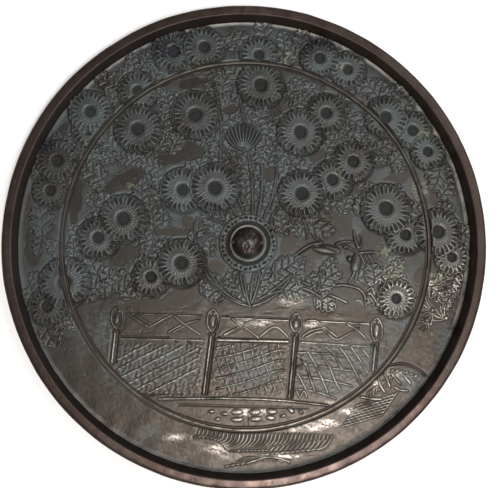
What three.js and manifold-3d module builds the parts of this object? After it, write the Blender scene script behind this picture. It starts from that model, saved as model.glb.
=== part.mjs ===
// Round bronze mirror of the Japanese kind, cast in one piece and lying on its polished face.
// The cast back looks up: chrysanthemums over a garden fence, two birds, a stream, a ring line,
// a pierced knob for the cord and a raised rim. Millimetres, +Z up, the origin under the middle.
import * as THREE from 'three';
import { mergeVertices } from 'three/addons/utils/BufferGeometryUtils.js';
import Module from 'manifold-3d';

const wasm = await Module();
wasm.setup();

// ---- driving dimensions ----
const DISC_RADIUS = 120;
const DISC_HEIGHT = 12;
const PLATE = 3; // thickness of the plate, so the height of the ground of the relief
const RIM_INNER_RADIUS = 113.8; // where the rim's inner wall meets the ground
const RIM_FLAT_WIDTH = 3.4;
const RING_RADIUS = 93; // the raised line that parts the border from the garden
const RING_HEIGHT = 1.7;
const RING_WIDTH = 2.4;
const KNOB_RADIUS = 8.6;
const KNOB_HEIGHT = 7.6; // above the ground
const SEAT_RADIUS = 14.8;
const CORD_HOLE_RADIUS = 1.8;
const DISC_SIDES = 60;
const KNOB_SIDES = 18;
const COLLAR_HEIGHT = 1.2; // the ring round the knob's foot, above the ground
const SEAT_HEIGHT = 0.9; // the flat band round it
const GROOVE_FLOOR = 0.3; // the groove between the two
const PETAL_RISE = 1.5; // the petal tips above the ground
const SINK = 0.6; // how far each motif's foot reaches into the plate it is cast with
const FINEST = 0.03; // facets that differ from a flat by less than this are joined

// ---- meshes to solids and back ----
function toSolid(geometry) {
  const bare = geometry.clone();
  bare.deleteAttribute('normal');
  bare.deleteAttribute('uv');
  const merged = mergeVertices(bare, 1e-5);
  const vertProperties = new Float32Array(merged.attributes.position.array);
  const triVerts = new Uint32Array(merged.index.array);
  return new wasm.Manifold(new wasm.Mesh({ numProp: 3, vertProperties, triVerts }));
}

function toGeometry(solid) {
  const mesh = solid.getMesh();
  const geometry = new THREE.BufferGeometry();
  geometry.setAttribute('position', new THREE.BufferAttribute(mesh.vertProperties, 3));
  geometry.setIndex(new THREE.BufferAttribute(mesh.triVerts, 1));
  geometry.computeVertexNormals();
  return geometry;
}

// A closed skin over rings of points, listed from the foot up, each ring counter-clockwise.
// A ring may hold a whole number of times fewer points than the one under it, and the last
// is a single point on top. A fan closes the foot.
function skin(rings) {
  const positions = rings.flat().flatMap((p) => [p.x, p.y, p.z]);
  const starts = rings.map((_, i) => rings.slice(0, i).reduce((sum, ring) => sum + ring.length, 0));
  const faces = [];
  for (let i = 1; i < rings[0].length - 1; i += 1) faces.push(0, i + 1, i);
  for (let level = 1; level < rings.length; level += 1) {
    const low = rings[level - 1].length;
    const high = rings[level].length;
    const share = low / high;
    for (let i = 0; i < low; i += 1) {
      const a = starts[level - 1] + i;
      const b = starts[level - 1] + ((i + 1) % low);
      const over = starts[level] + (Math.floor((i + share / 2) / share) % high);
      const next = starts[level] + (Math.floor((i + 1 + share / 2) / share) % high);
      faces.push(a, b, over);
      if (next !== over) faces.push(b, next, over);
    }
  }
  const geometry = new THREE.BufferGeometry();
  geometry.setAttribute('position', new THREE.Float32BufferAttribute(positions, 3));
  geometry.setIndex(faces);
  return geometry;
}

const at = (x, y, rise) => new THREE.Vector3(x, y, PLATE + rise);

// A low mound on the ground: the outline at its foot, the same outline at brim, and one top.
function mound(outline, middle, brim, top) {
  const foot = outline.map(([x, y]) => at(x, y, -SINK));
  const edge = outline.map(([x, y]) => at(x, y, brim));
  return toSolid(skin([foot, edge, [at(middle[0], middle[1], top)]]));
}

// Facets that fall straight from one top to the outline, which is met at the ground.
function facetedPeak(outline, middle, top) {
  const spread = (top + SINK) / top;
  const foot = outline.map(([x, y]) => {
    const [mx, my] = middle;
    return at(mx + (x - mx) * spread, my + (y - my) * spread, -SINK);
  });
  return toSolid(skin([foot, [at(middle[0], middle[1], top)]]));
}

// A raised line with a sharp crest along a path. Taper is the share of its width at its end.
function stroke(path, { width, height, taper = 1 }) {
  const rings = path.map(([x, y], i) => {
    const [x0, y0] = path[Math.max(i - 1, 0)];
    const [x1, y1] = path[Math.min(i + 1, path.length - 1)];
    const run = Math.hypot(x1 - x0, y1 - y0);
    const share = 1 + (taper - 1) * (i / (path.length - 1));
    const half = ((width / 2) * share * (height + SINK)) / height;
    const nx = (-(y1 - y0) / run) * half;
    const ny = ((x1 - x0) / run) * half;
    return [at(x - nx, y - ny, -SINK), at(x, y, height * (0.4 + 0.6 * share)), at(x + nx, y + ny, -SINK)];
  });
  const last = (rings.length - 1) * 3;
  const faces = [0, 1, 2, last, last + 2, last + 1];
  for (let i = 0; i < rings.length - 1; i += 1) {
    for (let k = 0; k < 3; k += 1) {
      const a = i * 3 + k;
      const b = i * 3 + ((k + 1) % 3);
      faces.push(a, a + 3, b, b, a + 3, b + 3);
    }
  }
  const geometry = new THREE.BufferGeometry();
  const positions = rings.flat().flatMap((p) => [p.x, p.y, p.z]);
  geometry.setAttribute('position', new THREE.Float32BufferAttribute(positions, 3));
  geometry.setIndex(faces);
  return toSolid(geometry);
}

// Points of a gentle bend from one point to another, bowed sideways by the given amount.
function bend([x0, y0], [x1, y1], bow, steps) {
  const run = Math.hypot(x1 - x0, y1 - y0);
  return Array.from({ length: steps + 1 }, (_, i) => {
    const t = i / steps;
    const side = (4 * t * (1 - t) * bow) / run;
    return [x0 + (x1 - x0) * t - (y1 - y0) * side, y0 + (y1 - y0) * t + (x1 - x0) * side];
  });
}

// ---- disc: plate, rim and ring line, turned about the middle ----
function disc() {
  const wallTop = RIM_INNER_RADIUS + 0.6;
  const flatEnd = wallTop + RIM_FLAT_WIDTH;
  const profile = [
    [0, 0],
    [DISC_RADIUS - 1, 0],
    [DISC_RADIUS, 1.6],
    [DISC_RADIUS - 0.4, DISC_HEIGHT - 1.2],
    [flatEnd, DISC_HEIGHT],
    [wallTop, DISC_HEIGHT],
    [RIM_INNER_RADIUS, PLATE],
    [0, PLATE],
  ];
  return toSolid(lathe(profile, DISC_SIDES));
}

// The ring line runs unbroken over the flowers that it crosses, between two fine grooves.
function ringLine() {
  const half = RING_WIDTH / 2;
  const foot = PLATE - SINK;
  const crest = PLATE + RING_HEIGHT;
  const line = [
    [RING_RADIUS - half, foot],
    [RING_RADIUS + half, foot],
    [RING_RADIUS, crest],
    [RING_RADIUS - half, foot],
  ];
  const gap = [
    [RING_RADIUS - half, PLATE],
    [RING_RADIUS + half, PLATE],
    [RING_RADIUS + half, crest + 1],
    [RING_RADIUS - half, crest + 1],
    [RING_RADIUS - half, PLATE],
  ];
  return { line: toSolid(lathe(line, DISC_SIDES)), gap: toSolid(lathe(gap, DISC_SIDES)) };
}

function lathe(profile, sides) {
  const turned = new THREE.LatheGeometry(
    profile.map(([r, z]) => new THREE.Vector2(r, z)),
    sides,
  );
  return turned.rotateX(Math.PI / 2);
}

// ---- knob: a dome on a collared seat, pierced along X for the cord ----
function knob() {
  const collar = KNOB_RADIUS + 1;
  const groove = collar + 1.5;
  const dome = Array.from({ length: 4 }, (_, i) => {
    const turn = (i / 4) * (Math.PI / 2);
    const rise = COLLAR_HEIGHT + (KNOB_HEIGHT - COLLAR_HEIGHT) * Math.sin(turn);
    return [KNOB_RADIUS * Math.cos(turn), PLATE + rise];
  });
  const profile = [
    [0, PLATE - SINK],
    [SEAT_RADIUS, PLATE - SINK],
    [SEAT_RADIUS - 0.4, PLATE + SEAT_HEIGHT],
    [groove + 0.2, PLATE + SEAT_HEIGHT],
    [groove, PLATE + GROOVE_FLOOR],
    [collar, PLATE + GROOVE_FLOOR],
    [collar - 0.3, PLATE + COLLAR_HEIGHT],
    ...dome,
    [0, PLATE + KNOB_HEIGHT],
  ];
  const drill = new THREE.CylinderGeometry(CORD_HOLE_RADIUS, CORD_HOLE_RADIUS, 2 * collar, 8);
  drill.rotateZ(Math.PI / 2).translate(0, 0, PLATE + 1.5 + CORD_HOLE_RADIUS);
  return toSolid(lathe(profile, KNOB_SIDES)).subtract(toSolid(drill));
}

// ---- chrysanthemums: [x, y, radius, layer], layer 0 tucked under its neighbour, 1 over it ----
const CHRYSANTHEMUMS = [
  [-80, 58, 9, 0],
  [-80, 66, 11, 1],
  [-56, 77, 10, 1],
  [-38, 98, 11, 0],
  [-22.5, 100, 10.5, 1],
  [5, 97, 10, 0],
  [6.5, 81, 12, 1],
  [37, 96, 10, 1],
  [51, 90, 9.5, 0],
  [71, 65, 11, 1],
  [85, 58.5, 10, 0],
  [92.5, 47, 9, 1],
  [-95.5, 41, 10.5, 1],
  [-99, 26, 9, 0],
  [-91, -20.5, 12.5, 1],
  [-99, -31.5, 9.5, 0],
  [97.5, 6, 12, 1],
  [104, -6.5, 9, 0],
  [80.5, 4.5, 10, 0],
  [71, 18, 13, 1],
  [-55.5, 57.5, 12, 1],
  [-27, 65, 12.5, 1],
  [26.5, 57, 12, 1],
  [40.5, 67, 10.5, 0],
  [-16.5, 28.5, 12.5, 1],
  [-33, 26.5, 11.5, 0],
  [27.5, 25.5, 12, 1],
  [43, 32.5, 10.5, 0],
  [54, 42, 10.5, 0],
  [-62.5, 12.5, 12, 1],
  [-74.5, 2.5, 10.5, 0],
  [-33.5, -10, 12, 1],
  [-48.5, -17, 9.5, 0],
  [75.5, -28, 10, 1],
];

function chrysanthemum(x, y, radius, layer) {
  const petals = radius < 11.2 ? 10 : 12;
  const rise = layer * 0.25;
  const circle = (count, shift, size) =>
    Array.from({ length: count }, (_, i) => {
      const turn = ((i + shift) / count) * 2 * Math.PI;
      const reach = size(i);
      return [x + reach * Math.cos(turn), y + reach * Math.sin(turn)];
    });
  const petalEdge = circle(2 * petals, 0, (i) => radius * (i % 2 ? 0.86 : 1));
  const shoulder = circle(petals, 0.5, () => radius * 0.46);
  const heart = circle(petals / 2, 0.5, () => radius * 0.22);
  const rings = [
    petalEdge.map(([px, py]) => at(px, py, -SINK)),
    petalEdge.map(([px, py], i) => at(px, py, rise + (i % 2 ? 0.1 : PETAL_RISE))),
    shoulder.map(([px, py]) => at(px, py, rise + 0.8 * PETAL_RISE)),
    heart.map(([px, py]) => at(px, py, rise + 0.3 * PETAL_RISE)),
    [at(x, y, rise + 0.9 * PETAL_RISE)],
  ];
  return toSolid(skin(rings));
}

// ---- leaves: [x, y, bearing of the tip in degrees, length] ----
const LEAVES = [
  [-72, 82, 150, 15],
  [-62, 86, 40, 13],
  [-86, 51, 200, 14],
  [-103, 12, 100, 18],
  [-103, 0, 260, 14],
  [-45, 89, 60, 13],
  [-5, 105, 10, 15],
  [23, 99, 130, 12],
  [65, 79, 130, 16],
  [82, 71, 60, 13],
  [98, 33, 250, 15],
  [105, -19, 250, 14],
  [102, -29, 240, 11],
  [-98, -46, 300, 15],
  [-78, 35, 150, 16],
  [-49, 39, 160, 13],
  [-48, 13, 100, 14],
  [-78, -10, 110, 16],
  [-66, -20, 210, 16],
  [-48, 0, 260, 12],
  [-13, 80, 80, 14],
  [-41, 73, 100, 11],
  [-17, 53, 140, 14],
  [-3, 53, 80, 15],
  [24, 81, 60, 13],
  [11, 44, 70, 13],
  [56, 62, 320, 15],
  [47, 54, 20, 10],
  [37, 7, 340, 16],
  [17, 9, 100, 12],
  [-13, 13, 150, 11],
  [-17, -24, 170, 16],
  [-6, -21, 120, 12],
  [20, -12, 30, 16],
  [22, -24, 350, 15],
  [41, -17, 40, 15],
  [39, -30, 330, 13],
  [64, -15, 100, 14],
];

function leaf(x, y, bearing, length) {
  const lobes = [1, 0.5, 0.85, 0.55, 0.55, 0.85, 0.5];
  const heading = THREE.MathUtils.degToRad(bearing);
  const outline = lobes.map((reach, i) => {
    const turn = (i / lobes.length) * 2 * Math.PI;
    const along = (length / 2) * reach * Math.cos(turn);
    const across = (length / 2.6) * reach * Math.sin(turn);
    const px = x + along * Math.cos(heading) - across * Math.sin(heading);
    const py = y + along * Math.sin(heading) + across * Math.cos(heading);
    return [px, py];
  });
  return facetedPeak(outline, [x, y], 1.2);
}

// ---- stems: [foot, tip, bow], fanning up from one root under the knob ----
const ROOT = [1, -33];
const STEMS_UNDER_KNOB = [
  [ROOT, [-2, -14], 1],
  [ROOT, [4, -14], -1],
  [ROOT, [-24, -14], 4],
  [ROOT, [26, -12], -4],
];
const STEMS_OVER_KNOB = [
  [[-4, 15], [-13, 52], 2],
  [[2, 15], [-2, 47], -1],
  [[7, 14], [23, 46], -3],
];
const THICK_STEM = { width: 2, height: 0.8, taper: 0.5 };
const THIN_STEM = { width: 1.6, height: 0.7, taper: 0.5 };

function stems() {
  const stem = ([foot, tip, bow], kind) => stroke(bend(foot, tip, bow, 3), kind);
  return [
    ...STEMS_UNDER_KNOB.map((line) => stem(line, THICK_STEM)),
    ...STEMS_OVER_KNOB.map((line) => stem(line, THIN_STEM)),
  ];
}

// ---- fence: four posts with gourd-shaped heads, rails, cross braces and a wattle mesh ----
const POSTS = [
  { head: [-65, -36], foot: [-67, -59] },
  { head: [-18.5, -36], foot: [-22.5, -76] },
  { head: [25, -39], foot: [20.5, -76] },
  { head: [66.5, -42], foot: [63, -64] },
];
const HEAD = { halfWidth: 3.4, up: 6, down: 8 }; // the gourd on top of a post
const RAIL_DROP = 11; // from the top rail down to the second
const MESH_DROP = 40; // from the top rail down to the ground line
const SHAFT = { width: 3.4, height: 1.3 };
const TOP_RAIL = { width: 1.8, height: 0.9 };
const SECOND_RAIL = { width: 2.2, height: 1 };
const BRACE = { width: 1.3, height: 0.7 };
const MESH_BAR = { width: 1.1, height: 0.6 };
const MESH_SPACING = 13;
const MESH_SLANT = 20; // how far a bar moves sideways on its way down
const GROUND_LINE = { width: 1.6, height: 0.8 };
const WATER_LINE = { width: 1.4, height: 0.5 };

function post({ head, foot }) {
  const [x, y] = head;
  const shaft = stroke([[x, y - HEAD.up], foot], SHAFT);
  const outline = Array.from({ length: 8 }, (_, i) => {
    const turn = (i / 8) * 2 * Math.PI;
    const reach = Math.sin(turn) > 0 ? HEAD.up : HEAD.down;
    return [x + HEAD.halfWidth * Math.cos(turn), y + reach * Math.sin(turn)];
  });
  return [shaft, mound(outline, [x, y - 1], 0.7, 1.4)];
}

function panel(left, right) {
  const ends = (drop, inset) => [
    [left.head[0] + inset, left.head[1] + 1 - drop],
    [right.head[0] - inset, right.head[1] + 1 - drop],
  ];
  const [topLeft, topRight] = ends(0, 4);
  const [midLeft, midRight] = ends(RAIL_DROP, 3);
  const point = ([x0, y0], [x1, y1], t) => [x0 + (x1 - x0) * t, y0 + (y1 - y0) * t];
  const bars = [stroke([topLeft, topRight], TOP_RAIL), stroke([midLeft, midRight], SECOND_RAIL)];
  for (const half of [0, 0.5]) {
    for (const [from, to] of [[0.03, 0.47], [0.47, 0.03]]) {
      const high = point(topLeft, topRight, half + from);
      const low = point(midLeft, midRight, half + to);
      bars.push(stroke([high, low], BRACE));
    }
  }
  return bars;
}

// One panel's mesh: slanting bars both ways, cut off by the posts, the ground line and the ring.
function wattle(left, right) {
  const top = (left.head[1] + right.head[1]) / 2 - RAIL_DROP;
  const bottom = top - MESH_DROP + RAIL_DROP + 1;
  const bars = [];
  const width = right.head[0] - left.head[0];
  for (let x = -MESH_SLANT; x < width; x += MESH_SPACING) {
    for (const lean of [1, -1]) {
      const xTop = lean > 0 ? x : x + MESH_SLANT;
      const xBottom = lean > 0 ? x + MESH_SLANT : x;
      const t0 = clipShare(xTop, xBottom, width);
      const t1 = clipShare(xBottom, xTop, width);
      const from = [left.head[0] + xTop + (xBottom - xTop) * t0, top + (bottom - top) * t0];
      const to = [left.head[0] + xBottom + (xTop - xBottom) * t1, bottom + (top - bottom) * t1];
      const end = insideRing(from, to);
      if (end && Math.hypot(end[0] - from[0], end[1] - from[1]) > 5) {
        bars.push(stroke([from, end], MESH_BAR));
      }
    }
  }
  return bars;
}

// How far from x0 towards x1 a bar enters the panel, which runs from 2 to width - 3.
function clipShare(x0, x1, width) {
  const nearest = Math.min(Math.max(x0, 2), width - 3);
  return (nearest - x0) / (x1 - x0);
}

// The last point on the way from one point to another that stays clear inside the ring.
function insideRing(from, to) {
  const limit = RING_RADIUS - 3;
  if (Math.hypot(...from) > limit) return null;
  let share = 1;
  while (Math.hypot(from[0] + (to[0] - from[0]) * share, from[1] + (to[1] - from[1]) * share) > limit) {
    share -= 0.02;
  }
  return [from[0] + (to[0] - from[0]) * share, from[1] + (to[1] - from[1]) * share];
}

function fence() {
  const solids = POSTS.flatMap(post);
  for (let i = 0; i < POSTS.length - 1; i += 1) {
    solids.push(...panel(POSTS[i], POSTS[i + 1]), ...wattle(POSTS[i], POSTS[i + 1]));
  }
  solids.push(stroke([[-48, -75], [38, -79]], GROUND_LINE));
  solids.push(stroke([[-32, -82], [34, -83]], WATER_LINE));
  return solids;
}

// ---- birds: body, tail and wings as mounds ----
function bird(x, y, bearing, size) {
  const heading = THREE.MathUtils.degToRad(bearing);
  const place = ([along, across]) => [
    x + size * (along * Math.cos(heading) - across * Math.sin(heading)),
    y + size * (along * Math.sin(heading) + across * Math.cos(heading)),
  ];
  const body = [[14, 0], [10, 2], [4, 3], [-6, 1.5], [-15, 2], [-15, -2], [-6, -2], [4, -3], [10, -2]];
  const wing = [[4, 1], [1, 10], [-4, 15], [-7, 12], [-4, 2]];
  const far = [[5, -1], [-2, -2], [-8, -9], [-5, -11], [1, -7]];
  return [
    mound(body.map(place), place([3, 0]), 0.6, 1.3),
    mound(wing.map(place), place([-2, 7]), 0.5, 1),
    mound(far.map(place), place([-2, -5]), 0.5, 0.9),
  ];
}

// ---- stream: bowed parallel lines in the border under the fence, and its banks ----
const RIPPLES = 8;
const RIPPLE_SPACING = 9;
const RIPPLE = { width: 1.4, height: 0.5, taper: 0.6 };
const BANKS = [
  [[-22, -107.5], [26, -105], 2],
  [[52, -86], [74, -66], 2],
  [[68, -61], [88, -68], 2],
];
const BANK = { width: 1.6, height: 0.5, taper: 0.6 };

function stream() {
  const ripples = Array.from({ length: RIPPLES }, (_, i) => {
    const x = -26 + i * RIPPLE_SPACING;
    const y = -96 + 0.03 * Math.abs(x) ** 1.2;
    return stroke(bend([x - 5, y - 8], [x + 7, y + 1], -1.5, 2), RIPPLE);
  });
  const banks = BANKS.map(([from, to, bow]) => stroke(bend(from, to, bow, 3), BANK));
  return [...ripples, ...banks];
}

// ---- the casting: everything joined into one solid ----
function casting() {
  const motifs = [
    ...CHRYSANTHEMUMS.map((c) => chrysanthemum(...c)),
    ...LEAVES.map((l) => leaf(...l)),
    ...stems(),
    ...fence(),
    ...bird(38, -3, 8, 0.85),
    ...bird(53, -8, 70, 0.75),
    ...stream(),
  ];
  const { line, gap } = ringLine();
  const relief = motifs.reduce((whole, motif) => whole.add(motif));
  return disc().add(relief.subtract(gap)).add(line).add(knob()).simplify(FINEST);
}

const bronze = new THREE.MeshStandardMaterial({ color: '#565349', roughness: 0.5, metalness: 0.75 });
const mirror = new THREE.Mesh(toGeometry(casting()), bronze);
mirror.name = 'mirror';

const part = new THREE.Group();
part.name = 'bronze_mirror';
part.add(mirror);

export default part;
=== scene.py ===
import math
from functools import partial

import bpy
import numpy as np
from mathutils import Matrix, Vector


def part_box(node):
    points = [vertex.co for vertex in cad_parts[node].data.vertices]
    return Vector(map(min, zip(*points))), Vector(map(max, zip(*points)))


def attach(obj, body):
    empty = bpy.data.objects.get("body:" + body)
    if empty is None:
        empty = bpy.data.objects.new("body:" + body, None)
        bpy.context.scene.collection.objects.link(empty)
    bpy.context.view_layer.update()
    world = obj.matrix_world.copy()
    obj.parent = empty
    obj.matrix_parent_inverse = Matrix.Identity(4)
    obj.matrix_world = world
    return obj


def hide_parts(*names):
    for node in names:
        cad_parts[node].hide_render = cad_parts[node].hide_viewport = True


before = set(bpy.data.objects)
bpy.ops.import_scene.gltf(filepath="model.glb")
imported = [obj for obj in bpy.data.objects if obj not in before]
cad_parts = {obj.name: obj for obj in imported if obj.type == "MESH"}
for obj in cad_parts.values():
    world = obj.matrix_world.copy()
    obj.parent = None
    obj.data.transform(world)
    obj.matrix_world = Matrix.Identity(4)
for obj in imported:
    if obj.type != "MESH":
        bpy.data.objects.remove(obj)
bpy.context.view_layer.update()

# ---- The plate and its raised rim ----------------------------------------------------------
# The body of the mirror: a thin round plate of cast bronze with a tall plain rim round its back.
# It was cast with the relief in one pour, then the face under it and the rim were filed smooth.
# The inner wall of the rim is steep, and carries painted shade on the left and a painted highlight on the
# right.

MM = 0.001  # one millimetre: sizes below are in millimetres, and the meshes in metres
mirror_low, mirror_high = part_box("mirror")
disc_radius = (mirror_high.x - mirror_low.x) / 2 / MM
rim_height = mirror_high.z / MM
ground_height = 3.0  # of the relief's ground over the face
wall_foot = 113.8  # radius at which the rim's inner wall meets the ground
foot_round, lip_round, inner_round = 1.1, 1.8, 0.7
rim_sides = 480


def undulation(x, y, wavelength, seed):
    """Slow unevenness of cast metal: 18 plane waves of about one wavelength, each with its own
    direction and phase, added up and scaled so that they stay mostly between -1 and 1."""
    draw = np.random.default_rng(seed)
    total = np.zeros(np.broadcast(x, y).shape)
    for _ in range(18):
        bearing = draw.uniform(0, 2 * np.pi)
        step = 2 * np.pi / (wavelength * draw.uniform(0.7, 1.5))
        phase = draw.uniform(0, 2 * np.pi)
        total += np.sin(step * (x * np.cos(bearing) + y * np.sin(bearing)) + phase)
    return total / 4.5


def blend_step(value, low, high):
    """0 below low, 1 above high, and 3t^2 - 2t^3 in between."""
    t = np.clip((value - low) / (high - low), 0, 1)
    return t * t * (3 - 2 * t)


def bell(value, centre, width):
    """exp(-((value - centre) / width)^2): 1 at the centre, nearly 0 from two widths away."""
    return np.exp(-(((value - centre) / width) ** 2))


def bearing_of(x, y):
    """Degrees round the axis from +X, between -180 and 180."""
    return np.degrees(np.arctan2(y, x))


def on_side(x, y, middle):
    """0.5 + 0.5 cos(bearing - middle): 1 on that side of the mirror and 0 on the far one."""
    return 0.5 + 0.5 * np.cos(np.radians(bearing_of(x, y) - middle))


def write_marks(mesh, marks):
    """One float attribute on the mesh's points for each entry of marks."""
    for mark, values in marks.items():
        layer = mesh.attributes.new(mark, "FLOAT", "POINT")
        layer.data.foreach_set("value", values.astype(np.float32).ravel())


def cast_piece(name, points, faces, marks, finish, normals=None):
    mesh = bpy.data.meshes.new(name)
    mesh.from_pydata((points * MM).tolist(), [], faces)
    mesh.shade_smooth()
    write_marks(mesh, marks)
    if normals is not None:
        mesh.normals_split_custom_set_from_vertices(normals.tolist())
    mesh.materials.append(finish)
    piece = bpy.data.objects.new(name, mesh)
    bpy.context.scene.collection.objects.link(piece)
    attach(piece, "root")
    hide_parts("mirror")
    return piece


def ring_faces(rows, columns, closed=False):
    """Quads of a grid whose columns close into rings: row k joins row k + 1, and the last column
    joins the first. In a closed grid the last row joins the first one too."""
    row = np.arange(rows if closed else rows - 1)[:, None]
    i, after = row * columns, (row + 1) % rows * columns
    j = np.arange(columns)[None, :]
    k = (j + 1) % columns
    return np.stack([i + j, i + k, after + k, after + j], -1).reshape(-1, 4)


def turned(profile, sides, shape):
    """A profile of (radius, height) carried round the Z axis. It starts and ends on the axis,
    where a single point closes the pole. shape changes the points of the grid before that."""
    turn = np.arange(sides) * 2 * np.pi / sides
    radius, height = np.asarray(profile[1:-1], float).T
    r = np.repeat(radius[:, None], sides, 1)
    z = np.repeat(height[:, None], sides, 1)
    r, z = shape(r, z, turn[None, :])
    grid = np.stack([r * np.cos(turn), r * np.sin(turn), z], -1).reshape(-1, 3)
    poles = [[0, 0, profile[0][1]], [0, 0, profile[-1][1]]]
    rows = len(radius)
    first, last = rows * sides, rows * sides + 1
    j = np.arange(sides)
    k = (j + 1) % sides
    low = np.stack([np.full(sides, first), k, j], -1)
    top = (rows - 1) * sides
    high = np.stack([top + j, top + k, np.full(sides, last)], -1)
    faces = ring_faces(rows, sides).tolist() + low.tolist() + high.tolist()
    return np.vstack([grid, poles]), faces


def round_corner(centre, radius, start, end, steps):
    """Points on an arc of a profile, from angle start to end in degrees about its centre."""
    turn = np.radians(np.linspace(start, end, steps))
    return [(centre[0] + radius * math.cos(t), centre[1] + radius * math.sin(t)) for t in turn]


def rim_profile():
    """From the middle of the face outwards, up the edge, over the rim and down its inner wall,
    then back to the axis a little under the ground of the relief."""
    top = rim_height
    face = [(0, 0)] + [(r, 0) for r in np.linspace(3, disc_radius - 1.2, 26)]
    edge = round_corner((disc_radius - foot_round, foot_round), foot_round, -90, 0, 6)
    side = [(disc_radius - 0.05, 4), (disc_radius - 0.15, 7), (disc_radius - 0.3, 9.4)]
    outer = round_corner((disc_radius - 0.3 - lip_round, top - lip_round), lip_round, 0, 90, 7)
    flat = [(disc_radius - 3.1, top - 0.02), (disc_radius - 4.2, top - 0.04)]
    inner_centre = (wall_foot + 0.65 + inner_round, top - 0.05 - inner_round)
    inner = round_corner(inner_centre, inner_round, 90, 180, 5)
    wall = [(wall_foot + 0.55, 9), (wall_foot + 0.4, 7), (wall_foot + 0.25, 5), (wall_foot, 3.6)]
    under = [(wall_foot - 0.3, 2.9), (wall_foot - 1.2, 2.6), (60, 2.6), (0, 2.6)]
    return face + edge + side + outer + flat + inner + wall + under


def worn_rim(r, z, turn):
    """Slow wobble of the radius, a dented top and a few nicks along both edges of the rim."""
    x, y = disc_radius * np.cos(turn), disc_radius * np.sin(turn)
    outside = blend_step(r, wall_foot - 1, wall_foot + 2) * blend_step(z, 0.5, 2)
    sway = 0.10 * undulation(x, y, 55, 3) + 0.05 * undulation(x, y, 14, 4) - 0.16
    top = blend_step(z, rim_height - 2.4, rim_height)
    dent = 0.07 + 0.05 * undulation(x + r, y - r, 22, 5) + 0.03 * undulation(x, y, 5, 6)
    draw = np.random.default_rng(11)
    nicks = np.zeros_like(turn)
    for _ in range(26):
        away = (turn - draw.uniform(0, 2 * np.pi) + np.pi) % (2 * np.pi) - np.pi
        width = draw.uniform(0.004, 0.014)
        nicks = nicks + draw.uniform(0.08, 0.3) * bell(away, 0, width)
    corner = bell(r, disc_radius - 1.2, 1.1) * top
    return r + sway * outside - 0.6 * nicks * corner, z - np.abs(dent) * top - nicks * corner


def new_group(name, inputs, outputs):
    """An empty shader node group with the named sockets; inputs are (name, type, value)."""
    group = bpy.data.node_groups.new(name, "ShaderNodeTree")
    for label, kind, value in inputs:
        socket = group.interface.new_socket(label, in_out="INPUT", socket_type=kind)
        socket.default_value = value
    for label, kind in outputs:
        group.interface.new_socket(label, in_out="OUTPUT", socket_type=kind)
    source = group.nodes.new("NodeGroupInput")
    target = group.nodes.new("NodeGroupOutput")
    return group, source, target


def noise(tree, coordinates, scale, detail, roughness):
    """A noise texture on the given coordinates, whose scale is in waves per metre."""
    node = tree.nodes.new("ShaderNodeTexNoise")
    node.inputs["Scale"].default_value = scale
    node.inputs["Detail"].default_value = detail
    node.inputs["Roughness"].default_value = roughness
    tree.links.new(coordinates, node.inputs["Vector"])
    return node.outputs["Fac"]


def arithmetic(tree, operation, first, second, third=None):
    """One Math node, clamped to 0..1. Each operand is a socket or a number."""
    node = tree.nodes.new("ShaderNodeMath")
    node.operation = operation
    node.use_clamp = True
    for place, operand in enumerate([first, second, third]):
        if isinstance(operand, (int, float)):
            node.inputs[place].default_value = operand
        elif operand is not None:
            tree.links.new(operand, node.inputs[place])
    return node.outputs[0]


def spread(tree, value, low, high):
    """value mapped so that low gives 0 and high gives 1, with a smooth step between them."""
    node = tree.nodes.new("ShaderNodeMapRange")
    node.interpolation_type = "SMOOTHSTEP"
    node.inputs["From Min"].default_value = low
    node.inputs["From Max"].default_value = high
    tree.links.new(value, node.inputs["Value"])
    return node.outputs["Result"]


def tint(tree, share, under, over):
    """The colour under, covered by the colour over as far as share says."""
    node = tree.nodes.new("ShaderNodeMix")
    node.data_type = "RGBA"
    tree.links.new(share, node.inputs["Factor"])
    for place, colour in ((6, under), (7, over)):
        if isinstance(colour, tuple):
            node.inputs[place].default_value = colour
        else:
            tree.links.new(colour, node.inputs[place])
    return node.outputs[2]


def hue(code):
    """A colour from its sRGB hex code, as the linear RGBA that the nodes take."""
    parts = [int(code[i : i + 2], 16) / 255 for i in (0, 2, 4)]
    linear = [p / 12.92 if p <= 0.04045 else ((p + 0.055) / 1.055) ** 2.4 for p in parts]
    return (*linear, 1.0)


PAINTS = ("Metal", "Film colour", "Dirt_and_shade_colour", "Rubbed_and_sheen_colour")
MARKS = ("Dirt_and_shade", "Wear_and_sheen", "Film", "Soot", "Salts")


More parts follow.
